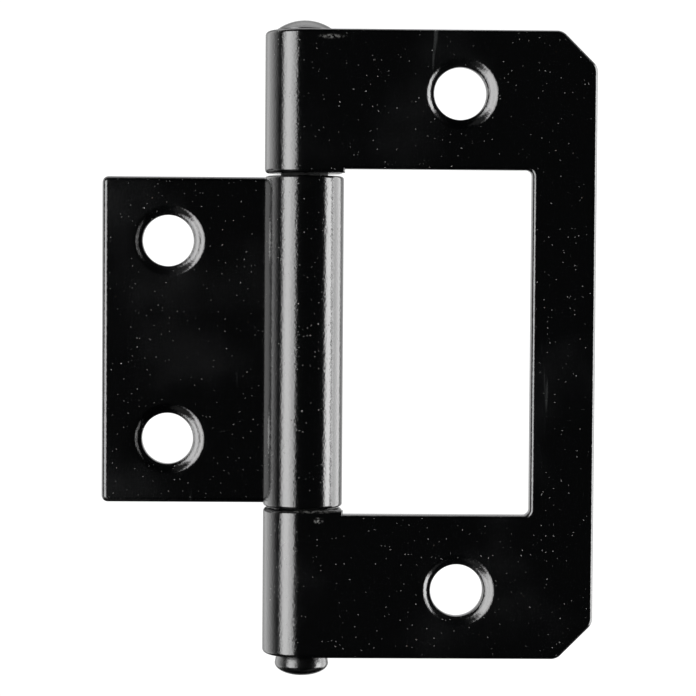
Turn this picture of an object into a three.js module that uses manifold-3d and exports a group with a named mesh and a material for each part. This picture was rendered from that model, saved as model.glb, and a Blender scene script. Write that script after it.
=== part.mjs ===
// A flush door hinge: two rolled sheet-steel leaves on one headed pin, laid open flat.
// Millimetres, +Z up along the pin, +X towards the outer leaf, +Y into the wood.
import * as THREE from "three";
import { mergeVertices } from "three/addons/utils/BufferGeometryUtils.js";
import Module from "manifold-3d";

const wasm = await Module();
wasm.setup();

// Sheet, pin and barrel
const sheet = 1.6;
const pinRadius = 2.4;
const pinClearance = 0.05;
const curlGap = 0.15;

// Outer leaf, the one screwed to the frame
const outerHeight = 63.5;
const outerReach = 29.45;
const railWidth = 6.5;
const windowHeight = 34.85;
const windowRaise = 0.27; // the window, its screw holes and the inner leaf sit this far above mid-height
const cornerCut = 3.6;
const outerHoleFromEdge = 13.8;
const outerHoleOutward = 0.5;

// Knuckle tabs stand a little way past the arms into the window
const tabStep = 0.38;
const tabPastBarrel = 0.05;

// Inner leaf, the one screwed to the door, which folds into the window
const knuckleGap = 0.2;
const knuckleDrop = 0.06; // the inner leaf rests this far below the middle of its gap
const windowTipGap = 2.1;
const innerHoleFromEdge = 6.8;
const innerHoleFromEnd = 6.6;

// Screw holes, the same in both leaves
const screwHoleRadius = 2.65;
const sinkRadius = 3.7;
const seatRadius = 2.85;
const sinkDepth = 0.45;

// Rounded corners of the cut outlines
const cutCornerRadius = 0.5;
const windowCornerRadius = 0.6;
const innerCornerRadius = 0.6;

// Heads formed on the ends of the pin
const headGap = 0.1;
const topHeadOverhang = 0.55;
const topHeadHeight = 1.04;
const topHeadEdge = 0.15;
const bottomHeadOverhang = 0.35;
const bottomHeadHeight = 2.2;
const bottomHeadEdge = 1;
const headTaper = 0.2;

// Drawing fineness, and how far solids run past what they cut or into what they join
const curlSegments = 56;
const roundSegments = 48;
const holeSegments = 40;
const cornerSegments = 8;
const headSegments = 8;
const overrun = 1;
const seamLap = 0.5;

// Sizes that follow from the ones above
const boreRadius = pinRadius + pinClearance;
const barrelRadius = boreRadius + sheet;
const plateStart = barrelRadius + sheet;
const windowEdge = outerReach - railWidth;
const windowEnd = windowHeight / 2;
const tabEnd = windowEnd - tabStep;
const tabEdge = barrelRadius + tabPastBarrel;
const outerHoleX = outerReach - outerHoleFromEdge;
const outerHoleZ = (outerHeight / 2 + windowEnd) / 2 + outerHoleOutward;
const innerHeight = 2 * (tabEnd - knuckleGap);
const innerReach = windowEdge - windowTipGap;
const innerHoleX = innerReach - innerHoleFromEdge;
const innerHoleZ = innerHeight / 2 - innerHoleFromEnd;

function toSolid(geometry) {
  const bare = geometry.clone();
  bare.deleteAttribute("normal");
  bare.deleteAttribute("uv");
  const welded = mergeVertices(bare);
  const mesh = new wasm.Mesh({
    numProp: 3,
    vertProperties: welded.attributes.position.array,
    triVerts: welded.index.array,
  });
  return new wasm.Manifold(mesh);
}

function toGeometry(solid) {
  const mesh = solid.getMesh();
  const geometry = new THREE.BufferGeometry();
  geometry.setAttribute("position", new THREE.BufferAttribute(mesh.vertProperties, 3));
  geometry.setIndex(new THREE.BufferAttribute(mesh.triVerts, 1));
  const faceted = geometry.toNonIndexed();
  faceted.computeVertexNormals();
  return faceted;
}

// A closed outline from corners [x, z, radius]; a radius of 0 leaves the corner sharp.
function outline(corners) {
  const shape = new THREE.Shape();
  corners.forEach(([x, z, radius], i) => {
    const here = new THREE.Vector2(x, z);
    const before = corners[(i + corners.length - 1) % corners.length];
    const after = corners[(i + 1) % corners.length];
    const back = new THREE.Vector2(before[0], before[1]).sub(here).normalize();
    const ahead = new THREE.Vector2(after[0], after[1]).sub(here).normalize();
    const halfAngle = Math.acos(back.dot(ahead)) / 2;
    const trim = radius / Math.tan(halfAngle);
    const start = here.clone().addScaledVector(back, trim);
    const end = here.clone().addScaledVector(ahead, trim);
    if (i === 0) shape.moveTo(start.x, start.y);
    else shape.lineTo(start.x, start.y);
    if (radius > 0) shape.quadraticCurveTo(x, z, end.x, end.y);
  });
  shape.closePath();
  return shape;
}

// The space, as deep as the barrel, that a cut outline leaves of the folded sheet.
function outlineSolid(corners) {
  const depth = 2 * (barrelRadius + overrun);
  const geometry = new THREE.ExtrudeGeometry(outline(corners), {
    depth,
    bevelEnabled: false,
    curveSegments: cornerSegments,
  });
  geometry.rotateX(Math.PI / 2);
  geometry.translate(0, depth / 2, 0);
  return toSolid(geometry);
}

// Flat sheet along +X that runs into a knuckle rolled round the pin, seen along the pin.
function foldedSheet(reach, height) {
  const endAngle = -Math.asin((boreRadius - curlGap) / barrelRadius);
  const section = new THREE.Shape();
  section.moveTo(plateStart, -barrelRadius);
  section.lineTo(plateStart, -boreRadius);
  section.lineTo(0, -boreRadius);
  section.absarc(0, 0, boreRadius, -Math.PI / 2, endAngle, true);
  section.lineTo(barrelRadius * Math.cos(endAngle), barrelRadius * Math.sin(endAngle));
  section.absarc(0, 0, barrelRadius, endAngle, -Math.PI / 2, false);
  section.closePath();
  const curl = new THREE.ExtrudeGeometry(section, {
    depth: height,
    bevelEnabled: false,
    curveSegments: curlSegments,
  });
  curl.translate(0, 0, -height / 2);
  const plateLength = reach - plateStart + seamLap;
  const plate = new THREE.BoxGeometry(plateLength, sheet, height);
  plate.translate(reach - plateLength / 2, -(barrelRadius + boreRadius) / 2, 0);
  return toSolid(curl).add(toSolid(plate));
}

// Screw hole through the plate, in a shallow dish in its outside face or, turned over, in its inside face.
function screwHole(x, z, inside) {
  const profile = [
    new THREE.Vector2(0, -overrun),
    new THREE.Vector2(sinkRadius, -overrun),
    new THREE.Vector2(sinkRadius, 0),
    new THREE.Vector2(seatRadius, sinkDepth),
    new THREE.Vector2(screwHoleRadius, sinkDepth),
    new THREE.Vector2(screwHoleRadius, sheet + overrun),
    new THREE.Vector2(0, sheet + overrun),
  ];
  const geometry = new THREE.LatheGeometry(profile, holeSegments);
  if (inside) geometry.rotateX(Math.PI);
  geometry.translate(x, inside ? -boreRadius : -barrelRadius, z);
  return toSolid(geometry);
}

function outerLeaf() {
  const side = -barrelRadius - overrun;
  const top = outerHeight / 2;
  const raise = windowRaise;
  const corners = [
    [side, -top, 0],
    [outerReach - cornerCut, -top, cutCornerRadius],
    [outerReach, cornerCut - top, cutCornerRadius],
    [outerReach, top - cornerCut, cutCornerRadius],
    [outerReach - cornerCut, top, cutCornerRadius],
    [side, top, 0],
    [side, raise + tabEnd, 0],
    [tabEdge, raise + tabEnd, 0],
    [tabEdge, raise + windowEnd, 0],
    [windowEdge, raise + windowEnd, windowCornerRadius],
    [windowEdge, raise - windowEnd, windowCornerRadius],
    [tabEdge, raise - windowEnd, 0],
    [tabEdge, raise - tabEnd, 0],
    [side, raise - tabEnd, 0],
  ];
  let leaf = foldedSheet(outerReach, outerHeight).intersect(outlineSolid(corners));
  leaf = leaf.subtract(screwHole(outerHoleX, raise + outerHoleZ, false));
  leaf = leaf.subtract(screwHole(outerHoleX, raise - outerHoleZ, false));
  return toGeometry(leaf);
}

function innerLeaf() {
  const side = -barrelRadius - overrun;
  const top = innerHeight / 2;
  const corners = [
    [side, -top, 0],
    [innerReach, -top, innerCornerRadius],
    [innerReach, top, innerCornerRadius],
    [side, top, 0],
  ];
  let leaf = foldedSheet(innerReach, innerHeight).intersect(outlineSolid(corners));
  leaf = leaf.subtract(screwHole(innerHoleX, innerHoleZ, true));
  leaf = leaf.subtract(screwHole(innerHoleX, -innerHoleZ, true));
  return toGeometry(leaf);
}

// Half profile of one head, from the shaft out, round and up to the axis.
function headProfile(overhang, height, edge) {
  const radius = pinRadius + overhang;
  const points = [new THREE.Vector2(pinRadius, 0), new THREE.Vector2(radius - edge * headTaper, 0)];
  for (let i = 0; i < headSegments; i += 1) {
    const angle = ((i / headSegments) * Math.PI) / 2;
    const rise = edge + (height - edge) * Math.sin(angle);
    points.push(new THREE.Vector2(radius * Math.cos(angle), rise));
  }
  points.push(new THREE.Vector2(0, height));
  return points;
}

function hingePin() {
  const shoulder = outerHeight / 2 + headGap;
  const above = headProfile(topHeadOverhang, topHeadHeight, topHeadEdge);
  const below = headProfile(bottomHeadOverhang, bottomHeadHeight, bottomHeadEdge);
  const profile = [
    ...below.reverse().map((p) => new THREE.Vector2(p.x, -shoulder - p.y)),
    ...above.map((p) => new THREE.Vector2(p.x, shoulder + p.y)),
  ];
  const geometry = new THREE.LatheGeometry(profile, roundSegments);
  geometry.rotateX(Math.PI / 2);
  return toGeometry(toSolid(geometry));
}

function paint(tint) {
  return new THREE.MeshStandardMaterial({ color: tint, roughness: 0.22, metalness: 0.2 });
}

const leafBlack = 0x0b0b0c;
const pinBlack = 0x0d0d0e;

const outer = new THREE.Mesh(outerLeaf(), paint(leafBlack));
outer.name = "outer_leaf";

const inner = new THREE.Mesh(innerLeaf(), paint(leafBlack));
inner.name = "inner_leaf";
inner.rotation.z = Math.PI;
inner.position.z = windowRaise - knuckleDrop;

const pin = new THREE.Mesh(hingePin(), paint(pinBlack));
pin.name = "hinge_pin";

// The origin is on the back of the outer leaf, in the middle of its outer rail.
const hinge = new THREE.Group();
hinge.name = "flush_hinge";
hinge.position.set(railWidth / 2 - outerReach, boreRadius, 0);
hinge.add(outer, inner, pin);

const part = new THREE.Group();
part.add(hinge);

export default part;
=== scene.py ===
# Flush door hinge: two rolled steel leaves on one headed pin, in gloss black powder coat.
import math

import bmesh
import bpy
from mathutils import Matrix, Vector


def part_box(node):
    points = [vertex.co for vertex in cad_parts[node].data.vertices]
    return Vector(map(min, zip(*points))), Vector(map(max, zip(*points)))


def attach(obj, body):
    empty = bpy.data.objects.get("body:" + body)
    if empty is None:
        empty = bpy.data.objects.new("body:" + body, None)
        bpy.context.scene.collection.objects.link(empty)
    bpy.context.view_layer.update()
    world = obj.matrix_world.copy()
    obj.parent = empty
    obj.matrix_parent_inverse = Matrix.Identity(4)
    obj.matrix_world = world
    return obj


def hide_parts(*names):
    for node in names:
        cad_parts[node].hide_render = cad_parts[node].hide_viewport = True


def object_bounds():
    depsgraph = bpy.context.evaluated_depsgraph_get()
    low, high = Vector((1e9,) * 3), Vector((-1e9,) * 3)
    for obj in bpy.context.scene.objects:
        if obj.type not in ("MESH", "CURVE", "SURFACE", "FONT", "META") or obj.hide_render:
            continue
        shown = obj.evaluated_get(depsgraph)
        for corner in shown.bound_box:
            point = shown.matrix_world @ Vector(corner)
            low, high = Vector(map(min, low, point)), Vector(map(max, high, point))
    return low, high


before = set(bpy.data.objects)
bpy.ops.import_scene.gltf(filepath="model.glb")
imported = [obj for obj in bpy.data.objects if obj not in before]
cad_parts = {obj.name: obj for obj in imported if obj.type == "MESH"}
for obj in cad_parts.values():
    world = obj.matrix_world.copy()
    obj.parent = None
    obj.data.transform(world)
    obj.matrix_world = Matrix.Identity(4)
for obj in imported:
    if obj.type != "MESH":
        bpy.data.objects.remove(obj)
cadLow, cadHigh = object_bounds()
print("frame loaded")

millimetre = 0.001
closeEnough = 0.0005  # millimetres, for finding the verts of a face or a rim
sharpAngle = 1.2  # radians between two faces, past which the edge they share gets rounded
smoothAngle = 0.9  # and below which the shading runs on over it

# The pin's axis is where everything is rolled round, so pieces are drawn about it in millimetres
pinLow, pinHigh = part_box("hinge_pin")
outerLow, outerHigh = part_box("outer_leaf")
innerLow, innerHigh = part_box("inner_leaf")
pinAxis = (pinLow + pinHigh) / 2
barrelRadius = (pinAxis.x - outerLow.x) / millimetre

hinge = {
    "sheet": 1.6,
    "curlGap": 0.15,
    "curlSteps": 72,
    "roundingSteps": 7,
    "cornerSteps": 7,
    "holeRadius": 2.65,
    "holeRounding": 0.1,
    "holeRoundingSteps": 3,
    "rimReach": 0.1,  # how far past a hole's edge its rim is looked for
    "holeSides": 64,
    # radius and depth of each ring of the dish that a screw head sits in
    "dish": [
        (3.8, 0),
        (3.68, 0.016),
        (3.54, 0.064),
        (3.41, 0.135),
        (3.28, 0.22),
        (3.16, 0.3),
        (3.04, 0.365),
        (2.92, 0.415),
        (2.78, 0.453),
        (2.65, 0.472),
    ],
    "dishLean": 0.12,
    "windowRaise": 0.27,
}
boreRadius = barrelRadius - hinge["sheet"]


def place(bm, turned):
    # from millimetres about the pin to metres in the frame
    turn = Matrix.Rotation(math.pi if turned else 0, 4, "Z")
    move = Matrix.Translation((pinAxis.x, pinAxis.y, 0))
    bmesh.ops.transform(bm, matrix=move @ Matrix.Scale(millimetre, 4) @ turn, verts=bm.verts)


def addObject(name, data):
    made = bpy.data.objects.new(name, data)
    bpy.context.scene.collection.objects.link(made)
    return made


def addMesh(bm, name, paint):
    mesh = bpy.data.meshes.new(name)
    bm.to_mesh(mesh)
    bm.free()
    mesh.materials.append(paint)
    return addObject(name, mesh)


def finishPiece(bm, name, body, node, paint):
    piece = addMesh(bm, name, paint)
    weigh = piece.modifiers.new("even shading", "WEIGHTED_NORMAL")
    weigh.keep_sharp = True
    weigh.weight = 100  # flats win over the narrow strips that round their edges
    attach(piece, body)
    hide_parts(node)
    print(name, "made with", len(piece.data.polygons), "faces")


def shadeSmooth(bm):
    for face in bm.faces:
        face.smooth = True
    for edge in bm.edges:
        edge.smooth = edge.is_manifold and edge.calc_face_angle() < smoothAngle
    print("open edges:", sum(not edge.is_manifold for edge in bm.edges))


def roundEdges(bm, edges, offset, steps):
    bmesh.ops.bevel(
        bm,
        geom=edges,
        offset=offset,
        offset_type="OFFSET",
        segments=steps,
        profile=0.5,
        affect="EDGES",
        material=-1,
        clamp_overlap=False,
    )


def cutBlank(bm, corners, y):
    # the flat outline, with its corners rounded where they have a radius
    verts = [bm.verts.new((x, y, z)) for x, z, radius in corners]
    bm.faces.new(verts)
    for vert, (x, z, radius) in zip(verts, corners):
        if not radius:
            continue
        bmesh.ops.bevel(
            bm,
            geom=[vert],
            offset=radius,
            offset_type="OFFSET",
            segments=hinge["cornerSteps"],
            profile=0.5,
            affect="VERTICES",
            material=-1,
        )


def sliceBlank(bm, point, normal):
    geom = bm.verts[:] + bm.edges[:] + bm.faces[:]
    bmesh.ops.bisect_plane(bm, geom=geom, plane_co=point, plane_no=normal, dist=closeEnough)


def ofType(items, kind):
    return [item for item in items if isinstance(item, kind)]


def pressHole(bm, centre, half, inward):
    # a square cell of the blank gives way to the rings of a dished screw hole
    for side in (-half, half):
        sliceBlank(bm, (centre.x + side, 0, 0), (1, 0, 0))
        sliceBlank(bm, (0, 0, centre.z + side), (0, 0, 1))
    cell = min(bm.faces, key=lambda face: (face.calc_center_median() - centre).length)
    edges = cell.edges[:]
    bmesh.ops.delete(bm, geom=[cell], context="FACES_ONLY")
    split = bmesh.ops.subdivide_edges(bm, edges=edges, cuts=hinge["holeSides"] // 4 - 1)
    border = [edge for edge in ofType(split["geom_split"], bmesh.types.BMEdge) if len(edge.link_faces) == 1]
    rings = hinge["dish"]
    radius, depth = rings[0]
    # the dish sits a little to one side of its hole, and the first ring starts off the blank,
    # as two loops in one plane can be bridged with a twist
    middle = centre + Vector((hinge["dishLean"] * inward, 0, 0))
    off = Vector((0, inward, 0))
    ring = bmesh.ops.create_circle(
        bm,
        cap_ends=False,
        radius=radius,
        segments=hinge["holeSides"],
        matrix=Matrix.Translation(middle + off) @ Matrix.Rotation(math.pi / 2, 4, "X"),
    )
    rim = list(dict.fromkeys(edge for vert in ring["verts"] for edge in vert.link_edges))
    bmesh.ops.bridge_loops(bm, edges=border + rim)
    bmesh.ops.translate(bm, vec=-off, verts=ring["verts"])
    for i, (nextRadius, nextDepth) in enumerate(rings[1:]):
        grown = bmesh.ops.extrude_edge_only(bm, edges=rim)
        verts = ofType(grown["geom"], bmesh.types.BMVert)
        edges = ofType(grown["geom"], bmesh.types.BMEdge)
        rim = [edge for edge in edges if all(vert in verts for vert in edge.verts)]
        shrink = nextRadius / radius
        bmesh.ops.scale(bm, vec=(shrink, 1, shrink), space=Matrix.Translation(-middle), verts=verts)
        step = (centre - middle) / (len(rings) - 1 - i)
        bmesh.ops.translate(bm, vec=step + off * (nextDepth - depth), verts=verts)
        middle = middle + step
        radius = nextRadius
        depth = nextDepth


def onSkin(co, radius):
    onPlate = co.x > -closeEnough and abs(co.y + radius) < closeEnough
    onCurl = abs(math.hypot(co.x, co.y) - radius) < closeEnough
    return onPlate or onCurl


def sharpEdges(bm, choose):
    sharp = [edge for edge in bm.edges if edge.is_manifold and edge.calc_face_angle() > sharpAngle]
    return [edge for edge in sharp if all(choose(vert.co) for vert in edge.verts)]


def rollTabs(bm):
    # the end faces at the pin's axis are swept round the bore, short of the plate by the curl's gap
    tabs = [face for face in bm.faces if all(abs(vert.co.x) < closeEnough for vert in face.verts)]
    geom = tabs + list(dict.fromkeys(edge for face in tabs for edge in face.edges))
    geom += list(dict.fromkeys(vert for face in tabs for vert in face.verts))
    pastThreeQuarters = math.asin((boreRadius - hinge["curlGap"]) / barrelRadius)
    bmesh.ops.spin(
        bm,
        geom=geom,
        cent=(0, 0, 0),
        axis=(0, 0, 1),
        dvec=(0, 0, 0),
        angle=-math.radians(270) - pastThreeQuarters,
        steps=hinge["curlSteps"],
        use_merge=False,
        use_duplicate=False,
    )
    bmesh.ops.remove_doubles(bm, verts=bm.verts, dist=closeEnough)
    bmesh.ops.recalc_face_normals(bm, faces=bm.faces)


def softenEdges(bm, leaf, centres):
    def atHole(co):
        reach = hinge["holeRadius"] + hinge["rimReach"]
        return any(math.hypot(co.x - centre.x, co.z - centre.z) < reach for centre in centres)

    outside = sharpEdges(bm, lambda co: onSkin(co, barrelRadius) and not atHole(co))
    roundEdges(bm, outside, leaf["outsideRounding"], hinge["roundingSteps"])
    inside = sharpEdges(bm, lambda co: onSkin(co, boreRadius) and not atHole(co))
    roundEdges(bm, inside, leaf["insideRounding"], hinge["roundingSteps"])
    roundEdges(bm, sharpEdges(bm, atHole), hinge["holeRounding"], hinge["holeRoundingSteps"])


def makeLeaf(leaf, corners, holes):
    # a blank is cut, pressed, given its thickness and rolled round the pin, then its edges are softened
    bm = bmesh.new()
    back = -boreRadius if leaf["dishedInside"] else -barrelRadius
    front = -barrelRadius if leaf["dishedInside"] else -boreRadius
    inward = math.copysign(1, front - back)
    centres = [Vector((x, back, z)) for x, z in holes]
    cutBlank(bm, corners, back)
    for centre in centres:
        pressHole(bm, centre, leaf["holeCell"], inward)
    bmesh.ops.remove_doubles(bm, verts=bm.verts, dist=closeEnough)
    thick = bmesh.ops.extrude_face_region(bm, geom=bm.faces[:])
    for vert in ofType(thick["geom"], bmesh.types.BMVert):
        vert.co.y = front
    bmesh.ops.recalc_face_normals(bm, faces=bm.faces)
    rollTabs(bm)
    softenEdges(bm, leaf, centres)
    shadeSmooth(bm)
    return bm


class Signal:
    # a socket with arithmetic: each operator adds one Math node
    def __init__(self, shop, socket):
        self.shop = shop
        self.socket = socket

    def __add__(self, other):
        return self.shop.calculate("ADD", self, other)

    def __radd__(self, other):
        return self.shop.calculate("ADD", other, self)

    def __sub__(self, other):
        return self.shop.calculate("SUBTRACT", self, other)

    def __rsub__(self, other):
        return self.shop.calculate("SUBTRACT", other, self)

    def __mul__(self, other):
        return self.shop.calculate("MULTIPLY", self, other)

    def __rmul__(self, other):
        return self.shop.calculate("MULTIPLY", other, self)


class PaintShop:
    def __init__(self, tree):
        self.tree = tree
        self.tree.nodes.clear()

    def add(self, kind, settings, values, out):
        # the output named by out comes back as a signal, or else the node itself
        node = self.tree.nodes.new(kind)
        for key, value in settings.items():
            setattr(node, key, value)
        for key, value in values.items():
            if isinstance(value, Signal):
                self.tree.links.new(value.socket, node.inputs[key])
            else:
                node.inputs[key].default_value = value
        return Signal(self, node.outputs[out]) if out else node

    def calculate(self, operation, first, second=0.0):
        return self.add("ShaderNodeMath", {"operation": operation}, {0: first, 1: second}, "Value")

    def measure(self, operation, first, second, out):
        return self.add("ShaderNodeVectorMath", {"operation": operation}, {0: first, 1: second}, out)

    def noise(self, where, scale, detail, roughness):
        values = {"Vector": where, "Scale": scale, "Detail": detail, "Roughness": roughness}
        return self.add("ShaderNodeTexNoise", {}, values, "Fac")

    def step(self, value, low, high, bottom=0.0, top=1.0):
        # smooth step from bottom to top as value goes from low to high
        settings = {"interpolation_type": "SMOOTHSTEP"}
        values = {"Value": value, "From Min": low, "From Max": high, "To Min": bottom, "To Max": top}
        return self.add("ShaderNodeMapRange", settings, values, "Result")

    def bump(self, height, depth, under=None):
        values = {"Strength": 1.0, "Distance": depth, "Height": height}
        if under:
            values["Normal"] = under
        return self.add("ShaderNodeBump", {}, values, "Normal")

    def blend(self, factor, first, second):
        # a Mix node's sockets share their names, so its colours are found by their type
        node = self.add("ShaderNodeMix", {"data_type": "RGBA"}, {}, None)
        colours = [socket for socket in node.inputs if socket.type == "RGBA"]
        for socket, value in zip([node.inputs[0]] + colours, (factor, first, second)):
            if isinstance(value, Signal):
                self.tree.links.new(value.socket, socket)
            else:
                socket.default_value = value
        return Signal(self, [socket for socket in node.outputs if socket.type == "RGBA"][0])

    def stretch(self, where, turn, size):
        values = {"Vector": where, "Rotation": turn, "Scale": size}
        return self.add("ShaderNodeMapping", {}, values, "Vector")

    def specks(self, where, scale, size, share):
        # round specks no wider than size (millimetres), in this share of the cells of a Voronoi pattern
        cell = self.add("ShaderNodeTexVoronoi", {}, {"Vector": where, "Scale": scale}, None)
        distance = Signal(self, cell.outputs["Distance"])
        tint = Signal(self, cell.outputs["Color"])
        lucky = self.add("ShaderNodeSeparateColor", {}, {"Color": tint}, "Red")
        reach = size * millimetre * scale / 2
        core = 0.4  # share of a speck's radius that is fully there
        return self.step(distance, reach * core, reach, 1, 0) * self.step(lucky, 1 - share, 1)


powderCoat = {
    "black": (0.0004, 0.00045, 0.0005, 1),
    "blackWorn": (0.0018, 0.0019, 0.002, 1),
    # pale grey of the dust, also used for the painted highlights on the knuckle rims
    "dustAndHighlightColour": (0.30, 0.30, 0.29, 1),
    "rustColour": (0.05, 0.035, 0.025, 1),
    "smearColour": (0.012, 0.013, 0.013, 1),
    # noises: waves to the metre, levels of detail and roughness
    "wave": (90, 1, 0.4),
    "peel": (520, 1, 0.4),
    "grain": (3600, 2, 0.6),
    "cloud": (60, 3, 0.55),
    # specks: cells to the metre, width in millimetres and share of the cells that hold one
    "fineDust": (2600, 0.085, 0.45),
    "dust": (1500, 0.11, 0.35),
    "bigDust": (800, 0.15, 0.08),
    "rust": (1100, 0.15, 0.2),
    # hairlines are noise drawn out along one slanted way, and show only where the cloud is thick
    "hairTurn": (0.2, 0.9, 0.1),
    "hairStretch": (900, 900, 60),
    "hair": (1, 2, 0.5),
    "hairBand": (0.70, 0.74),
    "hairCloud": (0.45, 0.6),
    "wornCloud": (0.5, 0.75),
    # painted rim highlights: the grain band that breaks them up, and the share of their radius at full
    # strength
    "highlightGrain": (0.42, 0.6),
    "highlightCore": 0.2,
    # how much of the paint's colour each covers
    "hairCover": 0.5,
    "rustCover": 0.8,
    "dustCover": 0.8,
    # roughness, and what each adds to it
    "gloss": 0.12,
    "wornGloss": 0.2,
    "dustDull": 0.4,
    "hairDull": 0.12,
    # roughness added where the rim highlights are painted
    "highlightDull": 0.3,
    # bump heights in metres, and the weight of the slow wave beside the peel
    "waveShare": 1.6,
    "peelDepth": 0.000012,
    "grainDepth": 0.000018,
    "gritDepth": 0.00003,
    # painted highlights on the knuckle rims, none unless a recipe lists them
    "rimHighlights": [],
    # a shaft inside its knuckles is bare and dull up to this height (metres)
    "hiddenBelow": None,
    "hiddenSoft": 0.0001,
    "hiddenDull": 0.55,
}


def paintedRimHighlights(shop, recipe, where, grain):
    # painted highlights where the knuckle rims catch the light, at known places: soft balls of pale colour,
    # broken up by the grain
    highlights = 0
    for centre, reach, amount in recipe["rimHighlights"]:
        away = shop.stretch(where, (0, 0, 0), [1 / (side * millimetre) for side in reach])
        shift = [-spot / side for spot, side in zip(centre, reach)]
        away = shop.measure("ADD", away, shift, "Vector")
        away = shop.measure("LENGTH", away, (0, 0, 0), "Value")
        highlight = shop.step(away, recipe["highlightCore"], 1, amount, 0)
        highlights = highlights + highlight * shop.step(grain, *recipe["highlightGrain"])
    return highlights


def makePaint(name, recipe):
    material = bpy.data.materials.new(name)
    material.use_nodes = True
    shop = PaintShop(material.node_tree)
    where = shop.add("ShaderNodeTexCoord", {}, {}, "Object")

    wave = shop.noise(where, *recipe["wave"])
    peel = shop.noise(where, *recipe["peel"])
    grain = shop.noise(where, *recipe["grain"])
    cloud = shop.noise(where, *recipe["cloud"])
    worn = shop.step(cloud, *recipe["wornCloud"])
    dust = shop.specks(where, *recipe["fineDust"]) + shop.specks(where, *recipe["dust"])
    bigDust = shop.specks(where, *recipe["bigDust"])
    rust = shop.specks(where, *recipe["rust"])
    swept = shop.stretch(where, recipe["hairTurn"], recipe["hairStretch"])
    strands = shop.noise(swept, *recipe["hair"])
    hair = shop.step(strands, *recipe["hairBand"]) * shop.step(cloud, *recipe["hairCloud"])
    # painted highlights on the knuckle rims
    paintedHighlight = paintedRimHighlights(shop, recipe, where, grain)

    base = shop.blend(worn, recipe["black"], recipe["blackWorn"])
    base = shop.blend(hair * recipe["hairCover"], base, recipe["smearColour"])
    base = shop.blend(rust * recipe["rustCover"], base, recipe["rustColour"])
    # the painted rim highlights take the dust's pale grey
    base = shop.blend(paintedHighlight, base, recipe["dustAndHighlightColour"])
    base = shop.blend(dust * recipe["dustCover"], base, recipe["dustAndHighlightColour"])
    base = shop.blend(bigDust, base, recipe["dustAndHighlightColour"])

    dull = recipe["gloss"] + worn * (recipe["wornGloss"] - recipe["gloss"])
    dull = dull + (dust + bigDust) * recipe["dustDull"]
    # the painted rim highlights are made rougher too
    dull = dull + hair * recipe["hairDull"] + paintedHighlight * recipe["highlightDull"]
    if recipe["hiddenBelow"]:
        height = shop.add("ShaderNodeSeparateXYZ", {}, {"Vector": where}, "Z")
        fromMiddle = shop.calculate("ABSOLUTE", height)
        end = recipe["hiddenBelow"]
        dull = dull + shop.step(fromMiddle, end, end + recipe["hiddenSoft"], 1, 0) * recipe["hiddenDull"]

    surface = shop.bump(wave * recipe["waveShare"] + peel, recipe["peelDepth"])
    surface = shop.bump(grain, recipe["grainDepth"], surface)
    surface = shop.bump(dust + bigDust + rust, recipe["gritDepth"], surface)
    sockets = {"Base Color": base, "Roughness": dull, "Normal": surface, "IOR": 1.5, "Metallic": 0.0}
    shader = shop.add("ShaderNodeBsdfPrincipled", {}, sockets, "BSDF")
    shop.add("ShaderNodeOutputMaterial", {}, {"Surface": shader}, None)
    return material


leafRecipe = dict(
    powderCoat,
    # painted highlights on the knuckle rims at the joints and under the top head: centre in the frame,
    # reach along each axis (millimetres) and strength
    rimHighlights=[
        ((-24.6, -1.6, -17.75), (0.65, 0.8, 0.4), 0.25),
        ((-23.6, -1.6, 30.95), (1.7, 0.8, 0.3), 0.16),
        ((-25.2, -0.5, -16.85), (3.4, 2.0, 0.28), 0.22),
        ((-24.4, -0.8, 17.15), (2.4, 1.5, 0.2), 0.3),
    ],
)
leafPaint = makePaint("gloss_black_leaf", leafRecipe)
pinRecipe = dict(powderCoat, gloss=0.2, wornGloss=0.34, peelDepth=0.00003, hiddenBelow=0.0317)
pinPaint = makePaint("gloss_black_pin", pinRecipe)
print("paint mixed")

outerLeaf = {
    "reach": (outerHigh.x - pinAxis.x) / millimetre,
    "height": (outerHigh.z - outerLow.z) / millimetre,
    "railWidth": 6.5,
    "windowHeight": 34.85,
    "cornerCut": 3.6,
    "cornerRadius": 0.5,
    "windowRadius": 0.6,
    "tabStep": 0.38,
    "tabPastBarrel": 0.05,
    "holeFromEdge": 13.8,
    "holeOutward": 0.5,  # from half-way between the window and the leaf's end
    "holeCell": 5.0,  # half the square of blank round a hole
    "dishedInside": False,
    "outsideRounding": 0.44,  # pulled over by the punch, and thick with paint
    "insideRounding": 0.15,
}


def makeOuterLeaf(leaf):
    side = leaf["reach"]
    top = leaf["height"] / 2
    cut = leaf["cornerCut"]
    windowX = side - leaf["railWidth"]
    windowZ = leaf["windowHeight"] / 2
    tabZ = windowZ - leaf["tabStep"]
    tabX = barrelRadius + leaf["tabPastBarrel"]
    raised = hinge["windowRaise"]
    corners = [
        (0, raised + tabZ, 0),
        (0, top, 0),
        (side - cut, top, leaf["cornerRadius"]),
        (side, top - cut, leaf["cornerRadius"]),
        (side, cut - top, leaf["cornerRadius"]),
        (side - cut, -top, leaf["cornerRadius"]),
        (0, -top, 0),
        (0, raised - tabZ, 0),
        (tabX, raised - tabZ, 0),
        (tabX, raised - windowZ, 0),
        (windowX, raised - windowZ, leaf["windowRadius"]),
        (windowX, raised + windowZ, leaf["windowRadius"]),
        (tabX, raised + windowZ, 0),
        (tabX, raised + tabZ, 0),
    ]
    holeX = side - leaf["holeFromEdge"]
    holeZ = (top + windowZ) / 2 + leaf["holeOutward"]
    return makeLeaf(leaf, corners, [(holeX, raised + holeZ), (holeX, raised - holeZ)])


outer = makeOuterLeaf(outerLeaf)
place(outer, turned=False)
finishPiece(outer, "outer_leaf_rolled", "outer_leaf", "outer_leaf", leafPaint)

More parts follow.
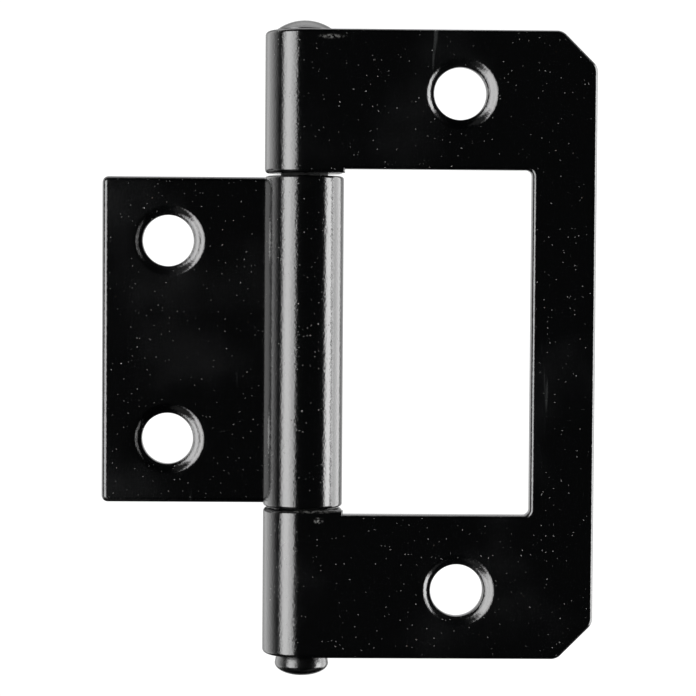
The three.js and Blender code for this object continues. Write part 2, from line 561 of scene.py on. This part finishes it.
innerLeaf = {
    "reach": (pinAxis.x - innerLow.x) / millimetre,
    "top": innerHigh.z / millimetre,
    "bottom": innerLow.z / millimetre,
    "cornerRadius": 0.66,
    "holeFromEdge": 6.8,
    "holeFromEnd": 6.6,
    "holeCell": 4.4,
    "dishedInside": True,
    "outsideRounding": 0.3,
    "insideRounding": 0.62,
}


def makeInnerLeaf(leaf):
    side = leaf["reach"]
    top = leaf["top"]
    bottom = leaf["bottom"]
    corners = [
        (0, top, 0),
        (side, top, leaf["cornerRadius"]),
        (side, bottom, leaf["cornerRadius"]),
        (0, bottom, 0),
    ]
    holeX = side - leaf["holeFromEdge"]
    endGap = leaf["holeFromEnd"]
    return makeLeaf(leaf, corners, [(holeX, top - endGap), (holeX, bottom + endGap)])


inner = makeInnerLeaf(innerLeaf)
place(inner, turned=True)
finishPiece(inner, "inner_leaf_rolled", "inner_leaf", "inner_leaf", leafPaint)

pinSizes = {
    "radius": 2.4,
    "shoulder": 31.85,
    "topHeadRadius": 2.93,
    "topHeadEdge": 0.06,
    "bottomHeadRadius": 2.75,
    "bottomHeadNeck": 2.5,
    "bottomHeadEdge": 0.95,
    "headSteps": 14,
    "sides": 72,
}


def domeCurve(radius, foot, tip, steps):
    # a shallow round cap, from its foot to the axis
    rise = tip - foot
    ball = (radius * radius + rise * rise) / (2 * abs(rise))
    start = math.asin(radius / ball)
    points = []
    for step in range(steps):
        angle = start * (1 - step / steps)
        points.append((ball * math.sin(angle), tip - math.copysign(ball * (1 - math.cos(angle)), rise)))
    return points + [(0, tip)]


def buttonCurve(radius, widest, tip, steps):
    # a fuller head that turns in below its widest ring
    points = []
    for step in range(steps):
        angle = step / steps * math.pi / 2
        points.append((radius * math.cos(angle), widest + (tip - widest) * math.sin(angle)))
    return points + [(0, tip)]


def makePin(pin):
    bm = bmesh.new()
    shaft = pin["radius"]
    shoulder = pin["shoulder"]
    pinTop = pinHigh.z / millimetre
    dome = domeCurve(pin["topHeadRadius"], shoulder + pin["topHeadEdge"], pinTop, pin["headSteps"])
    widest = -shoulder - pin["bottomHeadEdge"]
    button = buttonCurve(pin["bottomHeadRadius"], widest, pinLow.z / millimetre, pin["headSteps"])
    profile = list(reversed(button))
    halfWay = (pin["bottomHeadRadius"] * 2 + pin["bottomHeadNeck"]) / 3
    profile.append((halfWay, widest + pin["bottomHeadEdge"] / 2))
    profile += [(pin["bottomHeadNeck"], -shoulder), (shaft, -shoulder), (shaft, shoulder)]
    profile += [(pin["topHeadRadius"], shoulder)] + dome
    verts = [bm.verts.new((x, 0, z)) for x, z in profile]
    edges = [bm.edges.new(pair) for pair in zip(verts, verts[1:])]
    bmesh.ops.spin(
        bm,
        geom=verts + edges,
        cent=(0, 0, 0),
        axis=(0, 0, 1),
        dvec=(0, 0, 0),
        angle=math.tau,
        steps=pin["sides"],
        use_merge=True,
        use_duplicate=False,
    )
    bmesh.ops.remove_doubles(bm, verts=bm.verts, dist=closeEnough)
    bmesh.ops.recalc_face_normals(bm, faces=bm.faces)
    shadeSmooth(bm)
    return bm


pin = makePin(pinSizes)
place(pin, turned=False)
finishPiece(pin, "hinge_pin_headed", "outer_leaf", "hinge_pin", pinPaint)

studio = {
    "floorDrop": 0.22,
    "floorSize": 0.5,
    "floorPaint": (0.93, 0.93, 0.92, 1),
    "backdrop": 0.85,
    "seenBackdrop": 1.1,
    "overhead": 2.4,
    "front": 0.02,
    # directions run from -1 to 1 on each axis of the world
    "glowFades": (0.45, 0.65),  # steepness over which the softboxes fade
    "glowLeft": 0.02,
    "backdropEdge": (0.5, 0.85),
    "backdropDip": 0.35,
    "overheadEdge": (0.45, 0.8),
    "overheadFront": (0.02, 0.25),
    "floorSides": 96,
    "floorDull": 0.9,
}

# soft glows round the object: where each starts and ends, how soft each side is, and how bright it is
# (degrees round the pin, from 0 towards the camera, growing to the right)
softboxes = {
    "leftKey": (-65, 6, -24, 4, 8.4),
    "leftCore": (-59, 8, -38, 8, 4.2),
    "leftWing": (-140, 14, -94, 20, 3.0),
    "rightKey": (67, 5, 93, 5, 14.5),
    "rightRear": (91, 5, 131, 7, 6.2),
}


def makeFloor():
    bm = bmesh.new()
    spot = Matrix.Translation((0, 0, cadLow.z - studio["floorDrop"]))
    sides = studio["floorSides"]
    bmesh.ops.create_circle(bm, cap_ends=True, radius=studio["floorSize"], segments=sides, matrix=spot)
    material = bpy.data.materials.new("pale_floor")
    material.use_nodes = True
    shader = material.node_tree.nodes["Principled BSDF"]
    shader.inputs["Base Color"].default_value = studio["floorPaint"]
    shader.inputs["Roughness"].default_value = studio["floorDull"]
    floor = addMesh(bm, "floor", material)
    floor.visible_glossy = False


def makeStudio():
    # dark in front, softboxes to the left and right, a white backdrop behind that is plain where it is seen
    world = bpy.data.worlds.new("studio")
    bpy.context.scene.world = world
    world.use_nodes = True
    shop = PaintShop(world.node_tree)
    way = shop.add("ShaderNodeTexCoord", {}, {}, "Generated")
    across = shop.add("ShaderNodeSeparateXYZ", {}, {"Vector": way}, "X")
    behind = shop.add("ShaderNodeSeparateXYZ", {}, {"Vector": way}, "Y")
    height = shop.add("ShaderNodeSeparateXYZ", {}, {"Vector": way}, "Z")
    steep = shop.calculate("ABSOLUTE", height)
    bearing = shop.calculate("ARCTAN2", across, 0 - behind) * math.degrees(1)
    glow = studio["front"]
    for start, startSoft, end, endSoft, strength in softboxes.values():
        rise = shop.step(bearing, start - startSoft, start + startSoft)
        fall = shop.step(bearing, end - endSoft, end + endSoft, strength, 0)
        glow = glow + rise * fall
    glow = glow * shop.step(steep, *studio["glowFades"], 1, studio["glowLeft"])
    dip = studio["backdropDip"]
    white = shop.step(behind - dip * steep, *studio["backdropEdge"], 0, studio["backdrop"])
    above = shop.step(height, *studio["overheadEdge"])
    overhead = above * shop.step(behind, *studio["overheadFront"], 0, studio["overhead"])
    direct = shop.add("ShaderNodeLightPath", {}, {}, "Is Camera Ray")
    strength = (glow + white + overhead) * (1 - direct) + direct * studio["seenBackdrop"]
    sky = shop.add("ShaderNodeBackground", {}, {"Color": (1, 1, 1, 1), "Strength": strength}, "Background")
    shop.add("ShaderNodeOutputWorld", {}, {"Surface": sky}, None)


fill = {
    "place": (-0.0262, -0.35, 0.45),
    "size": 0.5,
    "watts": 1.0,
}


def hangFill():
    # a weak lamp over the camera, which only shows up the dust
    light = bpy.data.lights.new("fill", "AREA")
    light.size = fill["size"]
    light.energy = fill["watts"]
    lamp = addObject("fill", light)
    lamp.location = fill["place"]
    lamp.rotation_euler = (lamp.location - pinAxis).to_track_quat("Z", "Y").to_euler()
    lamp.visible_camera = False
    lamp.visible_glossy = False


makeFloor()
makeStudio()
hangFill()
print("studio lit")

camera = {
    "place": (-0.0257, -0.2335, 0.0079),
    "aim": (-0.0217, -0.0015, -0.0003),
    "lens": 119.3,
    "sensor": 36,
    "roll": 0.4,
    "nearest": 0.01,
    "farthest": 10,
}


def setCamera():
    data = bpy.data.cameras.new("camera")
    data.lens = camera["lens"]
    data.sensor_width = camera["sensor"]
    data.clip_start = camera["nearest"]
    data.clip_end = camera["farthest"]
    viewer = addObject("camera", data)
    viewer.location = camera["place"]
    turn = (Vector(camera["aim"]) - viewer.location).to_track_quat("-Z", "Y").to_matrix()
    roll = Matrix.Rotation(math.radians(camera["roll"]), 3, "Z")
    viewer.rotation_euler = (turn @ roll).to_euler()
    bpy.context.scene.camera = viewer


setCamera()
bpy.context.scene.view_settings.view_transform = "Standard"
bpy.context.scene.view_settings.look = "None"
